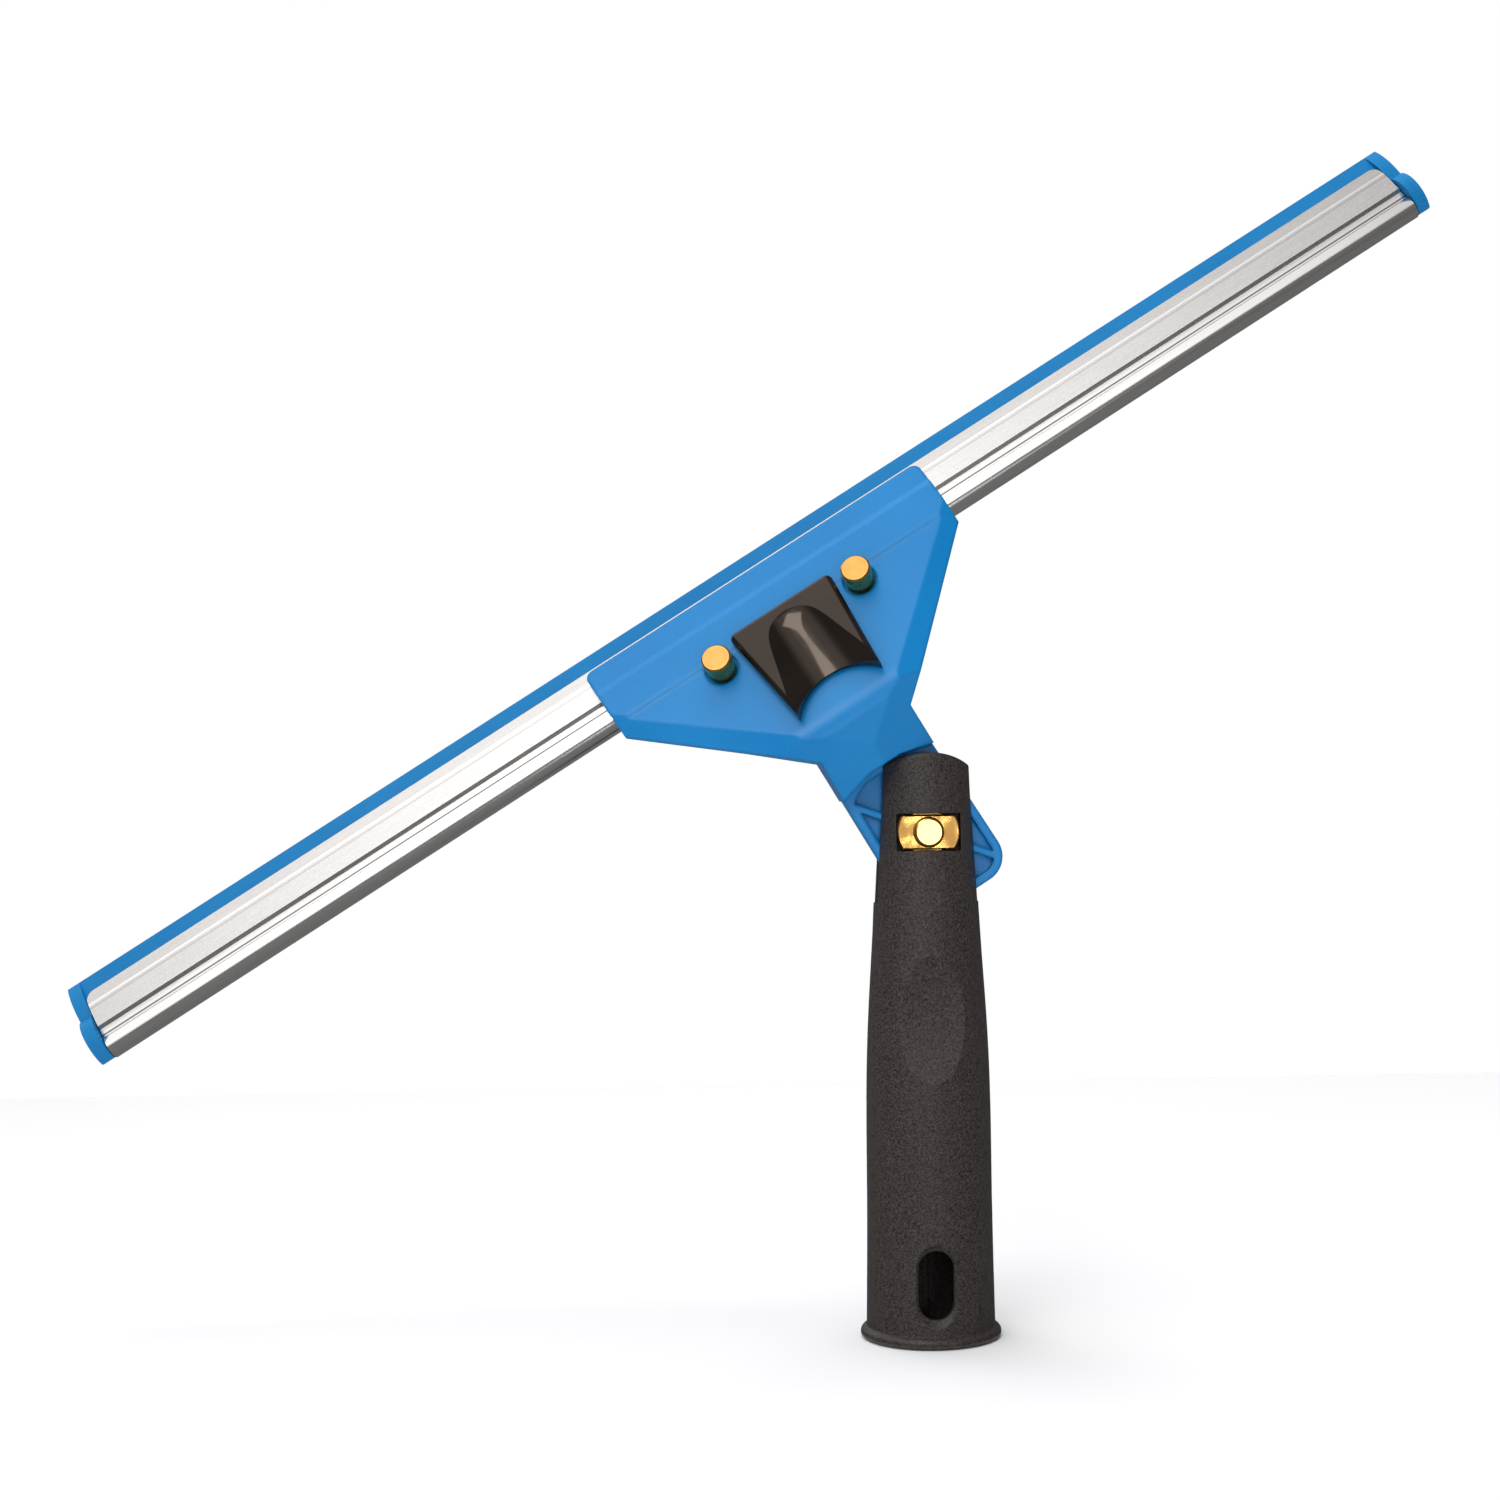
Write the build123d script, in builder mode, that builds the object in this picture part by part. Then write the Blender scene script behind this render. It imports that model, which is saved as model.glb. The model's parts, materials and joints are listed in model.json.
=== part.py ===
"""Window cleaning squeegee: swivelling head on a pole handle, with a sprung clip that clamps the bar.

Frame, in mm: +Z runs up the handle, the origin is the centre of the pole socket's mouth, and the side
the thumb clip is on faces -Y.  The head is drawn swivelled to its rest angle.
"""
import os
from math import cos, radians, sin, sqrt

from build123d import *

os.makedirs("parts", exist_ok=True)

# Fits
fixed_gap = 0.02
slide_gap = 0.3
spring_gap = 0.1

# Handle
pivot_z = 110.0
rim_r = 15.4
rim_h = 2.2
rim_low_r = 14.6
rim_high_r = 14.9
handle_outline = [(14.1, 2.6), (13.95, 12.0), (13.75, 30.0), (13.6, 56.0), (12.95, 72.0), (12.2, 84.0),
                  (11.5, 97.0), (10.75, 110.0), (10.2, 123.0), (10.1, 130.0)]
ear_arch_r = 17.5
ear_edge_r = 0.8
ear_gap = 6.9
slot_r = 19.3
socket_r = 11.4
socket_depth = 56.0
core_r = 8.5
core_end = 80.0
key_w = 1.3
key_deep = 0.7
dimple_z = 72.0
dimple_floor = 10.95
dimple_r = 50.0
window_z = 13.2
window_w = 7.7
window_h = 14.7
window_flare = 6.4
window_floor = 12.7

# Swivel lock
lock_slot_w = 14.2
lock_slot_h = 8.2
lock_slot_corner = 0.4
lock_floor = 5.0
lock_plate_r = 6.9
lock_plate_h = 7.6
lock_plate_front = 8.2
lock_plate_t = 1.3
lock_plate_edge = 0.35
lock_knob_r = 3.4
lock_knob_h = 1.7
lock_knob_edge = 0.7
stem_r = 2.5
stem_gap = 0.06
sleeve_r = 5.0
sleeve_end = 1.5
bush_r = 7.6
bush_gap = 0.06
cone_front_y = 1.8
cone_front_r = 5.2
cone_back_y = 3.3
cone_r = 6.0
cone_end = 5.4
cone_flats = 10.0
lock_pocket_r = 6.4
lock_pocket_flats = 10.8
lock_pocket_end = 9.0
lock_bolt_r = 1.2
lock_bolt_len = 4.6
lock_head_r = 3.1
lock_head_h = 1.3
lock_cross_l = 3.4
lock_cross_w = 0.7
cap_r = 7.4
cap_seat = 7.0
lock_spring_r = 4.2
lock_spring_wire = 0.6
lock_spring_turns = 2.5

# Head: seen along the swivel axis (w across, up along it) and in the plate frame (a across,
# f forward of the front edge, h above the mid-plane)
swivel = 32.6
bend = 28.0
front_up = 68.2
front_back = 10.5
plate_half = 5.6
front_half_w = 44.65
front_corner_r = 2.0
shoulder_half_w = 44.3
shoulder_up = 53.8
neck_half_w = 11.6
neck_up = 25.5
lip_low_f = -5.2
lip_low_h = 5.3
band_f = -7.0
band_h = 5.95
band_rear_f = -14.9
band_end_f = -15.9
crease_f = -44.0
crease_r = 8.0
neck_front = 12.4
neck_rear = 9.5
neck_rear_up = 26.0
neck_rear_f = -33.0
neck_low_up = 8.0
step_up = 17.9
step_flat_w = 4.0
step_side_up = 15.6
bevel_front_a = 39.3
bevel_front_f = -18.0
bevel_crease_a = 11.1
bevel_shoulder_a = 43.8
bevel_shoulder_f = -19.4
bevel_deep = 2.2
neck_apex_up = 22.5
neck_edge_w = 11.8
neck_edge_up = 21.0
neck_edge_out = 9.8
tang_half_w = 12.2
tang_end = 16.5
tang_corner_r = 6.0
tang_t = 6.4
tang_rim = 1.9
tang_boss_r = 8.8
tang_rib_w = 1.4
tang_rib_l = 60.0
tang_pocket_deep = 2.0
tang_pocket_up = 16.4
tang_pocket_r = 17.2
tang_rib_angles = (52, 90, 128)

# Channel and blade
bar_half = 178.0
channel_half = 174.7
channel_corner_r = 2.2
sheet = 0.6
bead_f = -11.2
bead_r = 2.7
flat_h = 2.65
ridge_f = -1.2
lip_f = 2.4
lip_h = 1.9
step_f = -6.6
waist_f = -7.3
waist_h = 2.0
blade_tip_f = 6.7
blade_tip_h = 0.8
web_front_past = 1.2
end_rear_inset = 0.1
end_waist = (-2.9, 1.9)
end_front_bulge = (2.8, 2.1)
end_rear_bulge = (-9.6, 4.2)
blade_bead_r = 1.75
blade_root_f = -9.8
end_gap = 0.3
wire_clip_at = 12.0
wire_clip_f = -4.0
wire_clip_l = 9.0
wire_clip_w = 2.6
wire_clip_h = 1.35

# Mechanism pocket and cover under the head
top_wall = 2.4
pocket_half_w = 15.2
pocket_front_f = -17.8
pocket_rear_f = -36.9
well_half_w = 14.6
well_front_f = -12.6
well_floor = -1.0
well_overlap = 1.0
well_past = 4.0
cover_t = 1.8
cover_front_f = -15.6
cover_half_w = 23.0
cover_waist_f = -26.0
cover_rear_w = 16.0
cover_rear_f = -38.0
cover_gap = 0.2
screw_r = 1.1
screw_head_r = 1.9
screw_head_t = 1.0
screw_len = 4.6
cover_screws = [(18.4, -28.5), (-18.4, -28.5)]

# Guide studs, clip and carriage
clip_travel = 3.5
stud_a = 18.26
stud_f = -18.0
stud_r = 3.36
stud_top = 11.0
stud_seat = 4.7
stud_ring = 0.5
stud_edge = 0.35
stud_shank_r = 1.5
stud_shank_end = -7.5
nut_r = 2.6
nut_t = 1.5
carriage_low = 1.5
carriage_high = 2.9
carriage_half_w = 14.2
carriage_front_f = -14.0
tab_half_w = 13.0
tab_f = -29.4
tab_t = 0.8
tab_low = -0.8
clip_front_f = -13.6
clip_rear_f = -40.4
clip_front_w = 13.4
clip_rear_w = 10.7
clip_low = 6.3
clip_front_h = 8.9
clip_rear_h = 10.3
clip_bite = 5.6
clip_lip_r = 1.3
clip_corner_r = 1.6
scoop_front = 2.7
scoop_high = 16.0
scoop_depths = [(0.0, 0.0), (0.8, 0.34), (5.7, 1.39), (11.8, 2.07), (21.0, 3.25), (32.0, 4.6)]
boss_a = 6.5
boss_f = -24.0
boss_r = 2.6
boss_root = 0.4
clip_screw_len = 5.2
clip_screw_head_r = 2.2
clip_screw_head_t = 1.3
clip_spring_a = 11.0
clip_spring_h = 1.0
clip_spring_r = 1.6
clip_spring_wire = 0.45
clip_spring_turns = 6

across = (cos(radians(swivel)), 0, sin(radians(swivel)))
upward = (-sin(radians(swivel)), 0, cos(radians(swivel)))
head = Plane(origin=(0, 0, pivot_z), x_dir=across, z_dir=(0, -1, 0))
head_side = Plane(origin=(0, 0, pivot_z), x_dir=upward, z_dir=across)
plate_at = head.from_local_coords(Vector(0, front_up, -front_back))
forward = head.from_local_coords(Vector(0, cos(radians(bend)), -sin(radians(bend)))) - head.origin
plate_up = head.from_local_coords(Vector(0, sin(radians(bend)), cos(radians(bend)))) - head.origin
plate = Plane(origin=plate_at, x_dir=across, z_dir=plate_up)
section = Plane(origin=plate_at, x_dir=forward, z_dir=across)


def in_head_side(f, h):
    """A point of the plate frame's section as (up, towards the front) in the head's own side view."""
    up = front_up + f * cos(radians(bend)) + h * sin(radians(bend))
    out = -front_back - f * sin(radians(bend)) + h * cos(radians(bend))
    return (up, out)


def front_view(y):
    """A drawing plane that faces -Y, through the swivel axis, at depth y."""
    return Plane(origin=(0, y, pivot_z), x_dir=(1, 0, 0), z_dir=(0, -1, 0))


def mirrored(points):
    """Half an outline, given from front to back, closed round the line a = 0."""
    return points + [(-a, f) for a, f in reversed(points)] + [points[0]]


def facet(first, second, third):
    """A plane through three points, its normal towards the viewer's side of the head."""
    normal = (second - first).cross(third - first).normalized()
    if normal.Y > 0:
        normal = -normal
    return Plane(origin=first, z_dir=normal)


# ---- handle ----
with BuildPart() as handle_grip:
    with BuildSketch(Plane.XZ):
        with BuildLine():
            Polyline((0, 0), (rim_low_r, 0))
            ThreePointArc((rim_low_r, 0), (rim_r, rim_h / 2), (rim_high_r, rim_h))
            Line((rim_high_r, rim_h), handle_outline[0])
            Spline(*handle_outline)
            Polyline(handle_outline[-1], (0, handle_outline[-1][1]), (0, 0))
        make_face()
    revolve(axis=Axis.Z)
    # the ears' tops are one arch about the swivel axis
    with BuildSketch(front_view(0)):
        Circle(ear_arch_r)
        with Locations((0, -pivot_z / 2)):
            Rectangle(4 * rim_r, pivot_z + well_past)
    extrude(amount=2 * rim_r, both=True, mode=Mode.INTERSECT)
    arch_edges = handle_grip.edges().filter_by_position(Axis.Z, pivot_z + rim_r / 2, pivot_z + rim_r + rim_h)
    fillet(arch_edges, ear_edge_r)
    # slot between the ears
    with BuildSketch(front_view(0)):
        Circle(slot_r)
        with Locations((0, slot_r)):
            Rectangle(4 * rim_r, 2 * slot_r)
    extrude(amount=ear_gap / 2, both=True, mode=Mode.SUBTRACT)
    # pole socket with one key groove down its back wall, and a narrower core above its stop
    with BuildSketch(Plane.XY):
        Circle(socket_r)
        with Locations((0, socket_r)):
            Rectangle(key_w, 2 * key_deep)
    extrude(amount=socket_depth, mode=Mode.SUBTRACT)
    with BuildSketch(Plane.XY):
        Circle(core_r)
    extrude(amount=core_end, mode=Mode.SUBTRACT)
    # oval thumb dimple
    with BuildSketch(Plane(origin=(0, -dimple_floor - dimple_r, dimple_z), z_dir=(1, 0, 0))):
        Circle(dimple_r)
    extrude(amount=rim_r, both=True, mode=Mode.SUBTRACT)
    # flared window for the pole's spring button
    with BuildSketch(Plane(origin=(0, -window_floor, window_z), x_dir=(1, 0, 0), z_dir=(0, -1, 0))):
        SlotOverall(window_h, window_w, rotation=90)
    with BuildSketch(Plane(origin=(0, -rim_r, window_z), x_dir=(1, 0, 0), z_dir=(0, -1, 0))):
        SlotOverall(window_h + window_flare, window_w + window_flare, rotation=90)
    loft(mode=Mode.SUBTRACT)
    with BuildSketch(Plane(origin=(0, -rim_r, window_z), x_dir=(1, 0, 0), z_dir=(0, -1, 0))):
        SlotOverall(window_h, window_w, rotation=90)
    extrude(amount=-rim_r, mode=Mode.SUBTRACT)
    # seat of the lock button, in the front ear
    with BuildSketch(front_view(-lock_floor)):
        RectangleRounded(lock_slot_w, lock_slot_h, lock_slot_corner)
    extrude(amount=rim_r, mode=Mode.SUBTRACT)
    with BuildSketch(front_view(0)):
        Circle(sleeve_r + fixed_gap)
    extrude(amount=lock_floor, mode=Mode.SUBTRACT)
    # pocket of the clutch cone, in the back ear
    with BuildSketch(front_view(0)):
        Circle(lock_pocket_r)
        Rectangle(2 * lock_pocket_r, lock_pocket_flats, mode=Mode.INTERSECT)
    extrude(amount=-rim_r, mode=Mode.SUBTRACT)
    with BuildSketch(front_view(cap_seat)):
        Circle(cap_r + fixed_gap)
    extrude(amount=-rim_r, mode=Mode.SUBTRACT)
handle_grip.part.label = "handle_grip"
export_step(handle_grip.part, "parts/handle_grip.step")

# its outer face follows the handle's outline
with BuildPart() as rear_cap:
    with BuildSketch(front_view(cap_seat)):
        Circle(cap_r)
    extrude(amount=-rim_r)
    with BuildSketch(Plane.XZ):
        with BuildLine():
            Spline(*handle_outline)
            Polyline(handle_outline[-1], (0, handle_outline[-1][1]), (0, handle_outline[0][1]),
                     handle_outline[0])
        make_face()
    revolve(axis=Axis.Z, mode=Mode.INTERSECT)
    with BuildSketch(front_view(0)):
        Circle(lock_pocket_r)
    extrude(amount=-lock_pocket_end, mode=Mode.SUBTRACT)
rear_cap.part.label = "rear_cap"
export_step(rear_cap.part, "parts/rear_cap.step")

with BuildPart() as pivot_sleeve:
    with BuildSketch(front_view(-lock_floor)):
        Circle(sleeve_r)
        Circle(stem_r + stem_gap, mode=Mode.SUBTRACT)
    extrude(amount=-(lock_floor + sleeve_end))
pivot_sleeve.part.label = "pivot_sleeve"
export_step(pivot_sleeve.part, "parts/pivot_sleeve.step")

button_back = front_view(-lock_plate_front + lock_plate_t)
with BuildPart() as lock_button:
    with BuildSketch(button_back):
        Circle(lock_plate_r)
        Rectangle(2 * lock_plate_r, lock_plate_h, mode=Mode.INTERSECT)
    extrude(amount=lock_plate_t)
    chamfer(lock_button.faces().sort_by(Axis.Y)[0].edges(), lock_plate_edge)
    with BuildSketch(button_back):
        Circle(lock_knob_r)
    extrude(amount=lock_plate_t + lock_knob_h)
    fillet(lock_button.faces().sort_by(Axis.Y)[0].edges(), lock_knob_edge)
    with BuildSketch(button_back):
        Circle(stem_r)
    extrude(amount=-(lock_plate_front - lock_plate_t + cone_end))
    with BuildSketch(front_view(cone_end)):
        Circle(lock_bolt_r + fixed_gap)
    extrude(amount=lock_bolt_len + spring_gap, mode=Mode.SUBTRACT)
lock_button.part.label = "lock_button"
export_step(lock_button.part, "parts/lock_button.step")

# the flats keep the cone from turning in the handle
with BuildPart() as lock_cone:
    with BuildSketch(front_view(cone_front_y)):
        Circle(cone_front_r)
    with BuildSketch(front_view(cone_back_y)):
        Circle(cone_r)
    loft()
    with BuildSketch(front_view(cone_back_y)):
        Circle(cone_r)
    extrude(amount=-(cone_end - cone_back_y))
    with BuildSketch(front_view(0)):
        Rectangle(2 * cone_r, cone_flats)
    extrude(amount=-2 * cone_end, mode=Mode.INTERSECT)
    with BuildSketch(front_view(0)):
        Circle(stem_r + fixed_gap)
    extrude(amount=-2 * cone_end, mode=Mode.SUBTRACT)
lock_cone.part.label = "lock_cone"
export_step(lock_cone.part, "parts/lock_cone.step")

with BuildPart() as lock_screw:
    with BuildSketch(front_view(cone_end + fixed_gap)):
        Circle(lock_head_r)
    extrude(amount=-lock_head_h)
    fillet(lock_screw.faces().sort_by(Axis.Y)[-1].edges(), lock_head_h - lock_cross_w)
    with BuildSketch(front_view(cone_end + fixed_gap)):
        Circle(lock_bolt_r)
    extrude(amount=lock_bolt_len)
    with BuildSketch(front_view(cone_end + fixed_gap + lock_head_h)):
        Rectangle(lock_cross_l, lock_cross_w)
        Rectangle(lock_cross_w, lock_cross_l)
    extrude(amount=lock_cross_w, mode=Mode.SUBTRACT)
lock_screw.part.label = "lock_screw"
export_step(lock_screw.part, "parts/lock_screw.step")

lock_spring_len = lock_pocket_end - cone_end - 2 * spring_gap - lock_spring_wire
with BuildPart() as lock_spring:
    with BuildLine() as lock_coil:
        Helix(pitch=lock_spring_len / lock_spring_turns, height=lock_spring_len, radius=lock_spring_r,
              center=(0, cone_end + spring_gap + lock_spring_wire / 2, pivot_z), direction=(0, 1, 0))
    with BuildSketch(Plane(origin=lock_coil.line @ 0, z_dir=lock_coil.line % 0)):
        Circle(lock_spring_wire / 2)
    sweep(path=lock_coil.line, is_frenet=True)
lock_spring.part.label = "lock_spring"
export_step(lock_spring.part, "parts/lock_spring.step")

# ---- head ----
crease_up, crease_out = in_head_side(crease_f, plate_half)
neck_apex_out = neck_front + (crease_out - neck_front) * (neck_apex_up - step_up) / (crease_up - step_up)
cover_top = -plate_half + cover_t
with BuildPart() as head_shell:
    # side view of plate, crank and neck; the band at the front bulges over the channel's bead
    with BuildSketch(head_side):
        with BuildLine():
            Polyline(in_head_side(0, lip_low_h), in_head_side(lip_low_f, lip_low_h),
                     in_head_side(band_f, band_h), in_head_side(band_rear_f, band_h),
                     in_head_side(band_end_f, plate_half), in_head_side(crease_f, plate_half),
                     (step_up, neck_front), (neck_low_up, neck_front), (neck_low_up, -neck_rear),
                     (neck_rear_up, -neck_rear), in_head_side(neck_rear_f, -plate_half),
                     in_head_side(0, -plate_half), in_head_side(0, lip_low_h))
        make_face()
    extrude(amount=2 * front_half_w, both=True)
    # outline seen along the swivel axis
    with BuildSketch(head):
        with BuildLine():
            Polyline(*mirrored([(front_half_w, 2 * front_up), (front_half_w, front_up),
                                (shoulder_half_w, shoulder_up), (neck_half_w, neck_up),
                                (tang_half_w, 0)]))
        make_face()
    extrude(amount=2 * front_half_w, both=True, mode=Mode.INTERSECT)
    front_corners = head_shell.edges().filter_by(Axis(plate_at, plate_up))
    fillet(front_corners.group_by(Axis(plate_at, forward))[-1], front_corner_r)
    crease_edge = head_shell.edges().filter_by(GeomType.LINE).group_by(Axis.Y)[0]
    fillet(crease_edge, crease_r)
    # facets along the two rear edges, and down the two sides of the neck
    for side in (1, -1):
        at_front = plate.from_local_coords(Vector(side * bevel_front_a, bevel_front_f, plate_half))
        at_crease = head.from_local_coords(Vector(side * bevel_crease_a, crease_up, crease_out))
        shoulder_h = plate_half - bevel_deep
        at_shoulder = plate.from_local_coords(Vector(side * bevel_shoulder_a, bevel_shoulder_f, shoulder_h))
        at_apex = head.from_local_coords(Vector(0, neck_apex_up, neck_apex_out))
        at_edge = head.from_local_coords(Vector(side * neck_edge_w, neck_edge_up, neck_edge_out))
        for cut in (facet(at_front, at_crease, at_shoulder), facet(at_crease, at_apex, at_edge)):
            with BuildSketch(cut):
                Rectangle(4 * front_up, 4 * front_up)
            extrude(amount=front_up, mode=Mode.SUBTRACT)
    # step that clears the ears, then the thin tang
    with BuildSketch(head):
        with BuildLine():
            Polyline(*mirrored([(step_flat_w, step_up), (tang_half_w, step_side_up), (tang_half_w, 0)]))
        make_face()
    extrude(amount=front_up, both=True, mode=Mode.SUBTRACT)
    with BuildSketch(head) as tang_outline:
        with BuildLine():
            Polyline(*mirrored([(neck_half_w, neck_up), (tang_half_w, 0), (tang_half_w, -tang_end)]))
        make_face()
        fillet(tang_outline.vertices().group_by(Axis.Y)[0], tang_corner_r)
    extrude(amount=tang_t / 2, both=True)
    # ribbed pockets on both faces of the tang
    for face_side in (1, -1):
        with BuildSketch(head.offset(face_side * (tang_t / 2 - tang_pocket_deep))) as tang_pockets:
            with BuildLine():
                Polyline(*mirrored([(neck_half_w - tang_rim, tang_pocket_up), (tang_half_w - tang_rim, 0),
                                    (tang_half_w - tang_rim, -tang_end + tang_rim)]))
            make_face()
            fillet(tang_pockets.vertices().group_by(Axis.Y)[0], tang_corner_r - tang_rim)
            Circle(tang_pocket_r, mode=Mode.INTERSECT)
            Circle(tang_boss_r, mode=Mode.SUBTRACT)
            for rib_angle in tang_rib_angles:
                Rectangle(tang_rib_l, tang_rib_w, rotation=rib_angle, mode=Mode.SUBTRACT)
        extrude(amount=face_side * tang_t, mode=Mode.SUBTRACT)
    with BuildSketch(head):
        Circle(bush_r + fixed_gap)
    extrude(amount=tang_t, both=True, mode=Mode.SUBTRACT)
    # jaw for the channel: round at the back, straight lips at the front
    with BuildSketch(section):
        with Locations((bead_f, 0)):
            Circle(bead_r + slide_gap)
        with Locations((bead_f / 2 + well_past, 0)):
            Rectangle(2 * well_past - bead_f, 2 * (flat_h + slide_gap))
    extrude(amount=2 * front_half_w, both=True, mode=Mode.SUBTRACT)
    # seat of the cover, and the mechanism pocket above it
    with BuildSketch(plate.offset(-plate_half - cover_t)):
        with BuildLine():
            Polyline(*mirrored([(cover_half_w + cover_gap, cover_front_f + cover_gap),
                                (cover_half_w + cover_gap, cover_waist_f - cover_gap),
                                (cover_rear_w + cover_gap, cover_rear_f - cover_gap)]))
        make_face()
    extrude(amount=2 * cover_t, mode=Mode.SUBTRACT)
    pocket_deep = 2 * plate_half - top_wall
    with BuildSketch(plate.offset(-plate_half)):
        with Locations((0, (pocket_front_f + pocket_rear_f) / 2)):
            Rectangle(2 * pocket_half_w, pocket_front_f - pocket_rear_f)
    extrude(amount=pocket_deep, mode=Mode.SUBTRACT)
    # well in front of the pocket, where the carriage reaches the channel's bead
    with BuildSketch(plate.offset(well_floor)):
        with Locations((0, (well_front_f + pocket_front_f - well_overlap) / 2)):
            Rectangle(2 * well_half_w, well_front_f - pocket_front_f + well_overlap)
    extrude(amount=plate_half - top_wall - well_floor, mode=Mode.SUBTRACT)
    # slots in the top wall for the clip's bosses
    with BuildSketch(plate):
        for side in (1, -1):
            with Locations((side * boss_a, boss_f - clip_travel / 2)):
                SlotOverall(clip_travel + 2 * (boss_r + slide_gap), 2 * (boss_r + slide_gap), rotation=90)
    extrude(amount=2 * plate_half, mode=Mode.SUBTRACT)
    # seats and through holes of the studs
    with BuildSketch(plate.offset(stud_seat)):
        with Locations((stud_a, stud_f), (-stud_a, stud_f)):
            Circle(stud_r + stud_ring)
    extrude(amount=plate_half, mode=Mode.SUBTRACT)
    with BuildSketch(plate):
        with Locations((stud_a, stud_f), (-stud_a, stud_f)):
            Circle(stud_shank_r + fixed_gap)
    extrude(amount=2 * plate_half, both=True, mode=Mode.SUBTRACT)
    # pilot holes of the cover screws
    with BuildSketch(plate.offset(cover_top)):
        with Locations(*cover_screws):
            Circle(screw_r + fixed_gap)
    extrude(amount=screw_len, mode=Mode.SUBTRACT)
head_shell.part.label = "head_shell"
export_step(head_shell.part, "parts/head_shell.step")

with BuildPart() as tang_bush:
    with BuildSketch(head.offset(-tang_t / 2)):
        Circle(bush_r)
    extrude(amount=tang_t)
    with BuildSketch(head.offset(-tang_t / 2)):
        Circle(sleeve_r + bush_gap)
    extrude(amount=tang_t, mode=Mode.SUBTRACT)
    with BuildSketch(front_view(cone_front_y - spring_gap)):
        Circle(cone_front_r + bush_gap)
    with BuildSketch(front_view(cone_back_y)):
        Circle(cone_r + bush_gap)
    loft(mode=Mode.SUBTRACT)
tang_bush.part.label = "tang_bush"
export_step(tang_bush.part, "parts/tang_bush.step")

with BuildPart() as base_plate:
    with BuildSketch(plate.offset(-plate_half)):
        with BuildLine():
            Polyline(*mirrored([(cover_half_w, cover_front_f), (cover_half_w, cover_waist_f),
                                (cover_rear_w, cover_rear_f)]))
        make_face()
        with Locations((stud_a, stud_f), (-stud_a, stud_f)):
            Circle(stud_shank_r + fixed_gap, mode=Mode.SUBTRACT)
        with Locations(*cover_screws):
            Circle(screw_r + fixed_gap, mode=Mode.SUBTRACT)
    extrude(amount=cover_t - fixed_gap)
    with BuildSketch(plate.offset(-plate_half)):
        with Locations(*cover_screws):
            Circle(screw_head_r + spring_gap)
    extrude(amount=screw_head_t + fixed_gap, mode=Mode.SUBTRACT)
base_plate.part.label = "base_plate"
export_step(base_plate.part, "parts/base_plate.step")

with BuildPart() as base_screws:
    with BuildSketch(plate.offset(-plate_half)):
        with Locations(*cover_screws):
            Circle(screw_head_r)
    extrude(amount=screw_head_t)
    with BuildSketch(plate.offset(-plate_half + screw_head_t)):
        with Locations(*cover_screws):
            Circle(screw_r)
    extrude(amount=screw_len)
base_screws.part.label = "base_screws"
export_step(base_screws.part, "parts/base_screws.step")

# ---- studs, carriage, clip ----
studs = {"stud_left": -stud_a, "stud_right": stud_a}
for stud_name, stud_at in studs.items():
    with BuildPart() as stud:
        with BuildSketch(plate.offset(stud_seat + fixed_gap)):
            with Locations((stud_at, stud_f)):
                Circle(stud_r)
        extrude(amount=stud_top - stud_seat - fixed_gap)
        top_face = stud.faces().filter_by(plate).sort_by(Axis(plate.origin, plate.z_dir))[-1]
        chamfer(top_face.edges(), stud_edge)
        with BuildSketch(plate.offset(stud_seat + 2 * fixed_gap)):
            with Locations((stud_at, stud_f)):
                Circle(stud_shank_r)
        extrude(amount=stud_shank_end - stud_seat)
    stud.part.label = stud_name
    export_step(stud.part, "parts/" + stud_name + ".step")

with BuildPart() as stud_nuts:
    with BuildSketch(plate.offset(-plate_half - fixed_gap)):
        with Locations((stud_a, stud_f), (-stud_a, stud_f)):
            RegularPolygon(nut_r, 6)
            Circle(stud_shank_r + fixed_gap, mode=Mode.SUBTRACT)
    extrude(amount=-nut_t)
stud_nuts.part.label = "stud_nuts"
export_step(stud_nuts.part, "parts/stud_nuts.step")

with BuildPart() as clip_carriage:
    with BuildSketch(plate.offset(carriage_low)):
        with BuildLine():
            Polyline(*mirrored([(carriage_half_w, carriage_front_f), (carriage_half_w, tab_f),
                                (tab_half_w, tab_f - tab_t)]))
        make_face()
        with Locations((boss_a, boss_f), (-boss_a, boss_f)):
            Circle(screw_r + fixed_gap, mode=Mode.SUBTRACT)
    extrude(amount=carriage_high - carriage_low)
    # tab that the springs push on, folded down
    with BuildSketch(plate.offset(tab_low)):
        with Locations((0, tab_f - tab_t / 2)):
            Rectangle(2 * tab_half_w, tab_t)
    extrude(amount=carriage_high - tab_low)
clip_carriage.part.label = "clip_carriage"
export_step(clip_carriage.part, "parts/clip_carriage.step")

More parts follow.
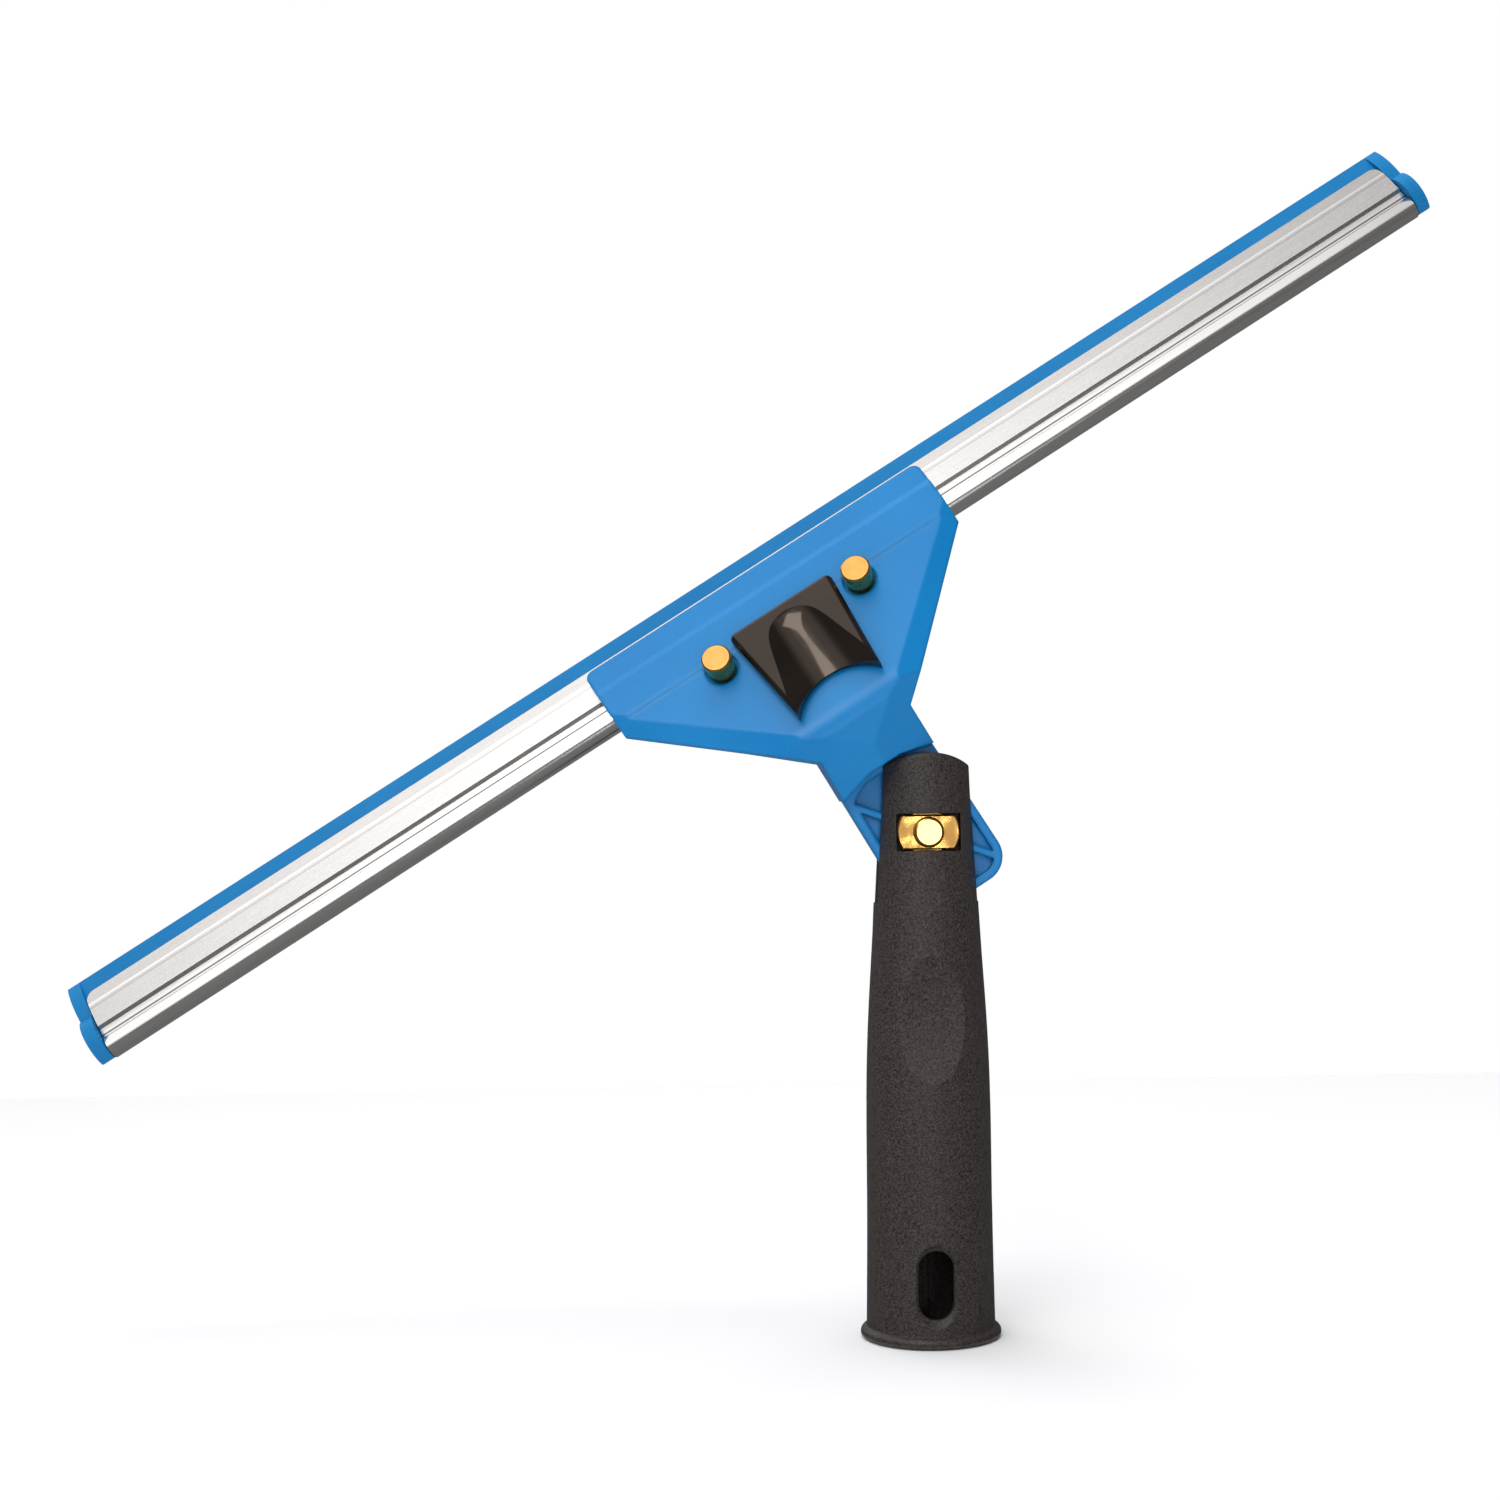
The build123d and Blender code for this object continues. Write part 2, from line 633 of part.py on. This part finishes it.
clip_slope = (clip_rear_h - clip_front_h) / (clip_front_f - clip_rear_f)
scoop_f = clip_front_f - scoop_front
scoop_h = clip_front_h + scoop_front * clip_slope
with BuildPart() as thumb_clip:
    # wedge, higher at the handle end
    with BuildSketch(section):
        with BuildLine():
            Polyline((clip_front_f, clip_low), (clip_front_f, clip_front_h), (clip_rear_f, clip_rear_h),
                     (clip_rear_f, clip_low), (clip_front_f, clip_low))
        make_face()
    extrude(amount=2 * clip_front_w, both=True)
    with BuildSketch(plate) as clip_plan:
        with BuildLine():
            Line((clip_front_w, clip_front_f), (clip_rear_w, clip_rear_f))
            ThreePointArc((clip_rear_w, clip_rear_f), (0, clip_rear_f + clip_bite),
                          (-clip_rear_w, clip_rear_f))
            Polyline((-clip_rear_w, clip_rear_f), (-clip_front_w, clip_front_f),
                     (clip_front_w, clip_front_f))
        make_face()
        fillet(clip_plan.vertices().group_by(Axis.Y)[-1], clip_corner_r)
    extrude(amount=2 * stud_top, mode=Mode.INTERSECT)
    # rolled lip round the front and the sides
    clip_top = thumb_clip.faces().sort_by(Axis(plate_at, plate_up))[-1]
    lip_edges = clip_top.edges().sort_by(Axis(plate_at, forward))[1:]
    fillet(lip_edges, clip_lip_r)
    # thumb scoop, round about a line above the clip
    with BuildSketch(section):
        with BuildLine():
            scoop_floor = [(scoop_f - s, scoop_h + s * clip_slope - d) for s, d in scoop_depths]
            Spline(*scoop_floor)
            scoop_end = scoop_floor[-1][0]
            Polyline(scoop_floor[-1], (scoop_end, scoop_h + scoop_high + (scoop_f - scoop_end) * clip_slope),
                     (scoop_f, scoop_h + scoop_high), scoop_floor[0])
        make_face()
    scoop_axis = section.from_local_coords(Vector(scoop_f, scoop_h + scoop_high))
    scoop_run = section.from_local_coords(Vector(-1, clip_slope)) - section.origin
    revolve(axis=Axis(scoop_axis, scoop_run), mode=Mode.SUBTRACT)
    with BuildSketch(plate.offset(carriage_high + fixed_gap)):
        with Locations((boss_a, boss_f), (-boss_a, boss_f)):
            Circle(boss_r)
    extrude(amount=clip_low - carriage_high + boss_root)
    with BuildSketch(plate.offset(carriage_high)):
        with Locations((boss_a, boss_f), (-boss_a, boss_f)):
            Circle(screw_r + fixed_gap)
    extrude(amount=clip_screw_len - clip_screw_head_t, mode=Mode.SUBTRACT)
thumb_clip.part.label = "thumb_clip"
export_step(thumb_clip.part, "parts/thumb_clip.step")

with BuildPart() as clip_screws:
    with BuildSketch(plate.offset(carriage_low - fixed_gap)):
        with Locations((boss_a, boss_f), (-boss_a, boss_f)):
            Circle(clip_screw_head_r)
    extrude(amount=-clip_screw_head_t)
    with BuildSketch(plate.offset(carriage_low - fixed_gap)):
        with Locations((boss_a, boss_f), (-boss_a, boss_f)):
            Circle(screw_r)
    extrude(amount=clip_screw_len)
clip_screws.part.label = "clip_screws"
export_step(clip_screws.part, "parts/clip_screws.step")

clip_spring_from = tab_f - tab_t - spring_gap - clip_spring_wire / 2
clip_spring_len = clip_spring_from - pocket_rear_f - spring_gap - clip_spring_wire / 2
springs = {"clip_spring_left": -clip_spring_a, "clip_spring_right": clip_spring_a}
for spring_name, spring_a in springs.items():
    with BuildPart() as clip_spring:
        coil_start = plate.from_local_coords(Vector(spring_a, clip_spring_from, clip_spring_h))
        with BuildLine() as clip_coil:
            Helix(pitch=clip_spring_len / clip_spring_turns, height=clip_spring_len,
                  radius=clip_spring_r, center=coil_start, direction=-forward)
        with BuildSketch(Plane(origin=clip_coil.line @ 0, z_dir=clip_coil.line % 0)):
            Circle(clip_spring_wire / 2)
        sweep(path=clip_coil.line, is_frenet=True)
    clip_spring.part.label = spring_name
    export_step(clip_spring.part, "parts/" + spring_name + ".step")

# ---- bar ----
bead_start_f = bead_f + sqrt(bead_r**2 - waist_h**2)
sheet_top = [(lip_f, lip_h), (ridge_f, flat_h), (step_f, flat_h), (waist_f, waist_h),
             (bead_start_f, waist_h)]
with BuildPart() as channel:
    with BuildSketch(section):
        with BuildLine():
            Polyline(*sheet_top)
            ThreePointArc(sheet_top[-1], (bead_f - bead_r, 0), (bead_start_f, -waist_h))
            Polyline(*[(f, -h) for f, h in reversed(sheet_top)])
            Line((lip_f, -lip_h), (lip_f, lip_h))
        make_face()
        offset(amount=-sheet, kind=Kind.INTERSECTION, mode=Mode.SUBTRACT)
        with Locations((lip_f, 0)):
            Rectangle(4 * sheet, 2 * (lip_h - sheet), mode=Mode.SUBTRACT)
    extrude(amount=channel_half, both=True)
    with BuildSketch(plate) as channel_plan:
        with Locations((0, (lip_f + bead_f - bead_r) / 2)):
            Rectangle(2 * channel_half, lip_f - bead_f + bead_r)
        fillet(channel_plan.vertices().group_by(Axis.Y)[-1], channel_corner_r)
    extrude(amount=2 * bead_r, both=True, mode=Mode.INTERSECT)
channel.part.label = "channel"
export_step(channel.part, "parts/channel.step")

root_h = sqrt(blade_bead_r**2 - (blade_root_f - bead_f)**2)


def lower(point):
    """The same section point on the blade's lower face."""
    return (point[0], -point[1])


web_top = [(lip_f + web_front_past, 0.85), (1.2, 1.05), (ridge_f, 1.25), (-5.0, 1.1), (-8.0, 0.9),
           (blade_root_f, root_h)]
end_rear_f = bead_f - bead_r + end_rear_inset
with BuildPart() as rubber_blade:
    with BuildSketch(section):
        with BuildLine():
            Polyline((blade_tip_f, -blade_tip_h), (blade_tip_f, blade_tip_h), web_top[0])
            Spline(*web_top)
            ThreePointArc(web_top[-1], (bead_f - blade_bead_r, 0), (blade_root_f, -root_h))
            Spline(*[lower(point) for point in reversed(web_top)])
            Line(lower(web_top[0]), (blade_tip_f, -blade_tip_h))
        make_face()
    extrude(amount=bar_half, both=True)
    # the ends swell out where they leave the channel
    for end in (1, -1):
        with BuildSketch(section.offset(end * (channel_half + end_gap))):
            with BuildLine():
                Line((blade_tip_f, -blade_tip_h), (blade_tip_f, blade_tip_h))
                ThreePointArc((blade_tip_f, blade_tip_h), end_front_bulge, end_waist)
                ThreePointArc(end_waist, end_rear_bulge, (end_rear_f, 0))
                ThreePointArc((end_rear_f, 0), lower(end_rear_bulge), lower(end_waist))
                ThreePointArc(lower(end_waist), lower(end_front_bulge), (blade_tip_f, -blade_tip_h))
            make_face()
        extrude(amount=end * (bar_half - channel_half - end_gap))
rubber_blade.part.label = "rubber_blade"
export_step(rubber_blade.part, "parts/rubber_blade.step")

wire_clip_a = channel_half - wire_clip_at
with BuildPart() as blade_clips:
    for face_side in (1, -1):
        with BuildSketch(plate.offset(face_side * wire_clip_h)):
            with Locations((wire_clip_a, wire_clip_f), (-wire_clip_a, wire_clip_f)):
                Rectangle(wire_clip_l, wire_clip_w)
        extrude(amount=face_side * sheet)
blade_clips.part.label = "blade_clips"
export_step(blade_clips.part, "parts/blade_clips.step")
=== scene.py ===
"""Window cleaning squeegee: materials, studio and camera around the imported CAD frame."""
import json
from math import cos, radians, sin

import bpy
from mathutils import Matrix, Vector


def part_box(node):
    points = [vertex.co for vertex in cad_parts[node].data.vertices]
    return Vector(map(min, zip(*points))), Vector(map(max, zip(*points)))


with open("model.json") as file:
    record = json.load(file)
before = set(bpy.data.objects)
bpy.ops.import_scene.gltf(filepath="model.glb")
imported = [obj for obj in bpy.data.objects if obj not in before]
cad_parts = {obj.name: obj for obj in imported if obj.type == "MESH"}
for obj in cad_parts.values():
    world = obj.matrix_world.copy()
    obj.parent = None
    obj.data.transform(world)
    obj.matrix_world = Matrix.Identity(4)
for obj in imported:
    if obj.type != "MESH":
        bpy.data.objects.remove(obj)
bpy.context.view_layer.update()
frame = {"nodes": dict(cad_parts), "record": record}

# ---- the head's directions, read from the record's joints ----
joints = {j["name"]: j for j in frame["record"]["behaviour"]["joints"]}
PIVOT = Vector(joints["head_swivel"]["pos_m"])
ACROSS = Vector(joints["bar_slide"]["axis"]).normalized()
FORWARD = -Vector(joints["clip_release"]["axis"]).normalized()
PLATE_UP = ACROSS.cross(FORWARD).normalized()
FRONT = Vector((0, -1, 0))
UPWARD = FRONT.cross(ACROSS).normalized()
# rear line of the channel: its vertices' least reach along FORWARD
channel_mesh = frame["nodes"]["channel"].data
BAR_BACK = FORWARD * min(FORWARD.dot(v.co) for v in channel_mesh.vertices)

# ---- places on the channel, in metres forward of its rear line ----
# where the painted shade lines and the painted highlight line lie, and where the finish turns hazy
FOOT_SHADE_AT = 0.005
HAZE_FROM, HAZE_TO = 0.0051, 0.0066
RIDGE_AT = 0.0131
DULL_SHADE_AT = RIDGE_AT - 0.0010
RIDGE_HALF_W = 0.0005
LINE_HALF_W = 0.0004

# ---- turned brass: radii in metres ----
POLISHED_R = 0.0034
POLISHED_EDGE = 0.0002
RING_RADIANS_PER_M = 21000.0


def srgb(r, g, b):
    """Linear colour from 8-bit display values."""
    def lin(v):
        v = v / 255
        return v / 12.92 if v <= 0.04045 else ((v + 0.055) / 1.055) ** 2.4
    return (lin(r), lin(g), lin(b), 1.0)


class Graph:
    """Short calls that add and join shader nodes."""

    def __init__(self, tree):
        self.tree = tree
        tree.nodes.clear()

    def add(self, kind, **props):
        node = self.tree.nodes.new(kind)
        for key, value in props.items():
            setattr(node, key, value)
        return node

    def link(self, a, b):
        self.tree.links.new(a, b)

    def put(self, socket, value):
        if isinstance(value, bpy.types.NodeSocket):
            self.link(value, socket)
        else:
            socket.default_value = value

    def math(self, op, a, b=0.0):
        node = self.add("ShaderNodeMath", operation=op)
        for socket, value in zip(node.inputs, (a, b)):
            self.put(socket, value)
        return node.outputs[0]

    def vec(self, op, a, b=(0, 0, 0)):
        node = self.add("ShaderNodeVectorMath", operation=op)
        self.put(node.inputs[0], a)
        self.put(node.inputs[1], b)
        return node.outputs["Value"] if op in ("DOT_PRODUCT", "LENGTH") else node.outputs[0]

    def remap(self, value, lo, hi, out_lo, out_hi, smooth=False):
        node = self.add("ShaderNodeMapRange", clamp=True)
        if smooth:
            node.interpolation_type = "SMOOTHSTEP"
        self.link(value, node.inputs["Value"])
        for key, number in (("From Min", lo), ("From Max", hi), ("To Min", out_lo), ("To Max", out_hi)):
            node.inputs[key].default_value = number
        return node.outputs[0]


class Nodes(Graph):
    """A material with one Principled shader."""

    def __init__(self, name, **sockets):
        self.mat = bpy.data.materials.new(name)
        self.mat.use_nodes = True
        super().__init__(self.mat.node_tree)
        out = self.add("ShaderNodeOutputMaterial")
        self.bsdf = self.add("ShaderNodeBsdfPrincipled")
        self.link(self.bsdf.outputs[0], out.inputs[0])
        for key, value in sockets.items():
            self.bsdf.inputs[key.replace("_", " ")].default_value = value
        self.coords = self.add("ShaderNodeTexCoord").outputs["Object"]

    def noise(self, scale, detail=2.0, rough=0.5, coords=None):
        node = self.add("ShaderNodeTexNoise")
        self.link(coords or self.coords, node.inputs["Vector"])
        node.inputs["Scale"].default_value = scale
        node.inputs["Detail"].default_value = detail
        node.inputs["Roughness"].default_value = rough
        return node.outputs["Fac"]

    def mix(self, fac, a, b):
        node = self.add("ShaderNodeMix", data_type="RGBA")
        for key, value in (("Factor", fac), ("A", a), ("B", b)):
            socket = [i for i in node.inputs if i.name == key and i.enabled][0]
            self.put(socket, value)
        return [o for o in node.outputs if o.enabled][0]

    def color(self, value):
        self.put(self.bsdf.inputs["Base Color"], value)

    def remap_to(self, fac, low, high):
        """low where fac is 0, high where it is 1."""
        return self.math("ADD", low, self.math("MULTIPLY", fac, self.math("SUBTRACT", high, low)))

    def band(self, value, middle, half_width):
        """1 at the middle of a soft band, 0 outside it."""
        distance = self.math("ABSOLUTE", self.math("SUBTRACT", value, middle))
        return self.remap(distance, 0.0, half_width, 1.0, 0.0, smooth=True)

    def rough(self, value):
        self.put(self.bsdf.inputs["Roughness"], value)

    def bump(self, height, distance, strength=1.0, soften=0.0):
        """Bump on top of edges softened by a radius in metres."""
        node = self.add("ShaderNodeBump")
        node.inputs["Strength"].default_value = strength
        node.inputs["Distance"].default_value = distance
        self.link(height, node.inputs["Height"])
        if soften:
            bevel = self.add("ShaderNodeBevel", samples=6)
            bevel.inputs["Radius"].default_value = soften
            self.link(bevel.outputs[0], node.inputs["Normal"])
        self.link(node.outputs[0], self.bsdf.inputs["Normal"])


# ---- materials ----
def along_bar(m, squeeze):
    """Coordinates squeezed along the bar, so noise turns into streaks."""
    streak = m.add("ShaderNodeCombineXYZ")
    m.link(m.math("MULTIPLY", m.vec("DOT_PRODUCT", m.coords, tuple(ACROSS)), squeeze), streak.inputs[0])
    m.link(m.vec("DOT_PRODUCT", m.coords, tuple(FORWARD)), streak.inputs[1])
    m.link(m.vec("DOT_PRODUCT", m.coords, tuple(PLATE_UP)), streak.inputs[2])
    return streak.outputs[0]


def blue_nylon():
    m = Nodes("blue_nylon", IOR=1.5)
    m.bsdf.inputs["Specular IOR Level"].default_value = 0.32
    cloud = m.noise(38.0, 3.0)
    grain = m.noise(2400.0, 2.0, 0.6)
    shade = m.mix(m.remap(cloud, 0.35, 0.65, 0.0, 1.0), srgb(8, 116, 182), srgb(13, 122, 188))
    m.color(m.mix(m.remap(grain, 0.3, 0.7, 0.0, 0.4), shade, srgb(24, 132, 196)))
    m.rough(m.remap(cloud, 0.3, 0.7, 0.28, 0.36))
    m.bump(grain, 0.00004, 0.5, soften=0.0011)
    return m.mat


def blue_rubber():
    m = Nodes("blue_rubber", IOR=1.48)
    m.bsdf.inputs["Specular IOR Level"].default_value = 0.25
    cloud = m.noise(60.0, 3.0)
    lines = m.noise(1500.0, 2.0, 0.5, along_bar(m, 0.05))
    m.color(m.mix(m.remap(cloud, 0.3, 0.7, 0.0, 1.0), srgb(8, 112, 172), srgb(14, 119, 179)))
    m.rough(m.remap(lines, 0.3, 0.7, 0.45, 0.6))
    m.bump(lines, 0.00003, 0.4)
    return m.mat


def black_nylon():
    m = Nodes("black_nylon", IOR=1.5)
    m.bsdf.inputs["Specular IOR Level"].default_value = 0.4
    fine = m.noise(2500.0, 3.0, 0.7)
    m.color(m.mix(m.remap(fine, 0.36, 0.64, 0.0, 1.0), srgb(20, 16, 15), srgb(74, 67, 64)))
    m.rough(m.remap(fine, 0.3, 0.7, 0.36, 0.55))
    m.bump(fine, 0.00016, 0.6, soften=0.0004)
    return m.mat


def black_gloss():
    m = Nodes("black_gloss", IOR=1.5)
    m.bsdf.inputs["Specular IOR Level"].default_value = 0.5
    m.bsdf.inputs["Specular Tint"].default_value = srgb(255, 232, 214)
    cloud = m.noise(90.0, 3.0)
    m.color(m.mix(m.remap(cloud, 0.35, 0.65, 0.0, 1.0), srgb(14, 11, 10), srgb(24, 19, 17)))
    m.rough(m.remap(m.noise(420.0, 3.0), 0.3, 0.7, 0.06, 0.11))
    m.bump(m.noise(160.0, 2.0), 0.00005, 0.25)
    return m.mat


def turned_brass(name, centre, axis):
    """Brass with turning rings about an axis through centre, polished near it."""
    m = Nodes(name, Metallic=1.0)
    offset = m.vec("SUBTRACT", m.coords, tuple(centre))
    radius = m.vec("LENGTH", m.vec("CROSS_PRODUCT", offset, tuple(axis)))
    rings = m.math("SINE", m.math("MULTIPLY", radius, RING_RADIANS_PER_M))
    worn = m.noise(500.0, 3.0, 0.5)
    m.color(m.mix(m.remap(worn, 0.35, 0.7, 0.0, 1.0), srgb(216, 168, 94), srgb(208, 158, 86)))
    handled = m.remap(m.noise(260.0, 2.0), 0.4, 0.6, 0.2, 0.34)
    polished = m.remap(radius, POLISHED_R, POLISHED_R + POLISHED_EDGE, 0.0, 1.0)
    m.rough(m.remap_to(polished, 0.1, handled))
    m.bump(rings, 0.000006, 0.3)
    return m.mat


def stainless():
    m = Nodes("stainless", Metallic=1.0)
    forward_at = m.vec("DOT_PRODUCT", m.vec("SUBTRACT", m.coords, tuple(BAR_BACK)), tuple(FORWARD))
    lines = m.noise(4600.0, 3.0, 0.7, along_bar(m, 0.01))
    grit = m.noise(2600.0, 2.0, 0.6)
    haze = m.remap(forward_at, HAZE_FROM, HAZE_TO, 0.0, 1.0, smooth=True)
    bright = m.mix(m.remap(lines, 0.3, 0.7, 0.0, 1.0), srgb(236, 234, 232), srgb(250, 248, 246))
    hazy = m.mix(m.remap(m.math("ADD", lines, grit), 0.7, 1.3, 0.0, 1.0), srgb(200, 196, 194),
                 srgb(222, 219, 217))
    # painted highlight on the flat's front crest, and a painted shade line just behind it
    painted_ridge_highlight = m.band(forward_at, RIDGE_AT, RIDGE_HALF_W)
    painted_dull_shade = m.band(forward_at, DULL_SHADE_AT, LINE_HALF_W)
    flat = m.mix(m.math("MULTIPLY", painted_dull_shade, 0.5), m.mix(painted_ridge_highlight, hazy, srgb(250, 249, 248)),
                 srgb(160, 156, 154))
    # painted shade: a dark line painted along the base of the bead
    painted_foot_shade = m.band(forward_at, FOOT_SHADE_AT, LINE_HALF_W)
    bright = m.mix(painted_foot_shade, bright, srgb(96, 92, 90))
    m.color(m.mix(haze, bright, flat))
    streaks = m.remap(m.math("ADD", lines, m.math("MULTIPLY", grit, 0.4)), 0.4, 1.0, 0.0, 0.1)
    m.rough(m.math("ADD", m.remap(forward_at, HAZE_FROM, HAZE_TO, 0.14, 0.3), streaks))
    m.bump(lines, 0.00001, 0.4)
    return m.mat


def zinc():
    m = Nodes("zinc_steel", Metallic=1.0)
    spots = m.noise(300.0, 4.0, 0.6)
    m.color(m.mix(m.remap(spots, 0.3, 0.7, 0.0, 1.0), srgb(176, 180, 186), srgb(206, 208, 210)))
    m.rough(m.remap(spots, 0.3, 0.7, 0.26, 0.4))
    m.bump(m.noise(1400.0, 2.0), 0.00001, 0.4)
    return m.mat


def centre_of(node):
    low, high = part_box(node)
    return (Vector(low) + Vector(high)) / 2


def paint(node, material):
    for slot in frame["nodes"][node].material_slots:
        slot.material = material


shared = {"blue_nylon": blue_nylon(), "blue_rubber": blue_rubber(), "black_nylon": black_nylon(),
          "black_gloss": black_gloss(), "stainless": stainless(), "zinc_steel": zinc()}
for part in frame["record"]["subparts"]:
    if part["material_slot"] in shared:
        paint(part["node"], shared[part["material_slot"]])
for stud in ("stud_left", "stud_right"):
    paint(stud, turned_brass(stud + "_brass", centre_of(stud), PLATE_UP))
for node in ("lock_button", "pivot_sleeve", "tang_bush"):
    paint(node, turned_brass(node + "_brass", PIVOT, FRONT))

# ---- studio ----
def sheet(name, corners, material):
    mesh = bpy.data.meshes.new(name)
    mesh.from_pydata(corners, [], [(0, 1, 2, 3)])
    obj = bpy.data.objects.new(name, mesh)
    bpy.context.collection.objects.link(obj)
    obj.data.materials.append(material)
    return obj


def matte(name, color):
    m = Nodes(name, Roughness=0.95)
    m.bsdf.inputs["Specular IOR Level"].default_value = 0.0
    m.color(color)
    return m.mat


def softbox(name, place, target, size, watts):
    light = bpy.data.lights.new(name, "AREA")
    light.shape = "RECTANGLE"
    light.size, light.size_y = size
    light.energy = watts
    obj = bpy.data.objects.new(name, light)
    obj.location = place
    obj.rotation_euler = (Vector(target) - Vector(place)).to_track_quat("-Z", "Y").to_euler()
    bpy.context.collection.objects.link(obj)
    return obj


def room():
    """White seen directly; as light, a long bright ceiling strip in a dim room."""
    world = bpy.data.worlds.new("studio")
    bpy.context.scene.world = world
    world.use_nodes = True
    g = Graph(world.node_tree)
    direction = g.add("ShaderNodeTexCoord").outputs["Generated"]
    lift = g.math("ARCTAN2", g.vec("DOT_PRODUCT", direction, tuple(UPWARD)),
                  g.vec("DOT_PRODUCT", direction, tuple(FRONT)))
    side = g.math("ABSOLUTE", g.vec("DOT_PRODUCT", direction, tuple(ACROSS)))
    start = g.remap(lift, radians(12), radians(24), 0.0, 1.0, smooth=True)
    end = g.remap(lift, radians(135), radians(160), 1.0, 0.0, smooth=True)
    core = g.remap(side, 0.12, 0.22, 0.5, 0.0, smooth=True)
    wings = g.remap(side, 0.28, 0.5, 0.95, 0.06, smooth=True)
    strip = g.math("MULTIPLY", g.math("MULTIPLY", start, end), g.math("ADD", wings, core))
    lit = g.add("ShaderNodeBackground")
    g.link(g.math("ADD", strip, 0.13), lit.inputs["Strength"])
    seen = g.add("ShaderNodeBackground")
    mix = g.add("ShaderNodeMixShader")
    g.link(g.add("ShaderNodeLightPath").outputs["Is Camera Ray"], mix.inputs[0])
    g.link(lit.outputs[0], mix.inputs[1])
    g.link(seen.outputs[0], mix.inputs[2])
    for background in (lit, seen):
        background.inputs["Color"].default_value = (1.0, 1.0, 1.0, 1.0)
    g.link(mix.outputs[0], g.add("ShaderNodeOutputWorld").inputs[0])


half = 1.2
floor_back = 0.45
card_z = 0.001
sheet("floor", [(-half, -half, 0), (half, -half, 0), (half, floor_back, 0), (-half, floor_back, 0)],
      matte("pale_floor", (0.84, 0.84, 0.85, 1.0)))
# dark card over the floor, seen in reflections only
card = sheet("card", [(-half, -half, card_z), (half, -half, card_z), (half, floor_back, card_z),
                      (-half, floor_back, card_z)], matte("dark_card", (0.12, 0.12, 0.12, 1.0)))
card.visible_camera = False
card.visible_diffuse = False
card.visible_shadow = False
room()
softbox("key", (-0.31, -0.69, 0.62), (0, 0, 0.13), (0.35, 0.35), 1.7)
softbox("flash", (0.075, -0.75, 0.1), (0, 0, 0.11), (0.05, 0.05), 0.16)
softbox("glow", (0.09, -0.76, 0.09), (0, 0, 0.11), (0.3, 0.3), 0.12)
top = softbox("top", (0.0, 0.15, 1.3), (0, 0, 0.0), (1.0, 1.0), 12.0)
fill = softbox("fill", (0.1, -0.9, 0.15), (0, 0, 0.13), (0.6, 0.6), 1.5)
for light in (top, fill):
    light.visible_glossy = False

# ---- camera ----
SENSOR_MM = 36.0
LENS_MM = 55.0536
SHIFT_X, SHIFT_Y = -0.0628667, -0.0694667
AZ, EL, ROLL = radians(3.724), radians(-3.9), radians(-0.314)
OFFSET = Vector((0.01795, 0.51045, -0.04136))
turn = Matrix(((cos(ROLL), 0, sin(ROLL)), (0, 1, 0), (-sin(ROLL), 0, cos(ROLL)))) \
    @ Matrix.Rotation(AZ, 3, "Z") @ Matrix.Rotation(EL, 3, "X")
right, ahead, above = turn[0], turn[1], turn[2]
lens = bpy.data.cameras.new("camera")
lens.sensor_width = SENSOR_MM
lens.lens = LENS_MM
lens.shift_x = SHIFT_X
lens.shift_y = SHIFT_Y
camera = bpy.data.objects.new("camera", lens)
bpy.context.collection.objects.link(camera)
axes = Matrix((right, above, -ahead)).transposed().to_4x4()
camera.matrix_world = Matrix.Translation(PIVOT - turn.transposed() @ OFFSET) @ axes
bpy.context.scene.camera = camera
bpy.context.scene.view_settings.view_transform = "Standard"
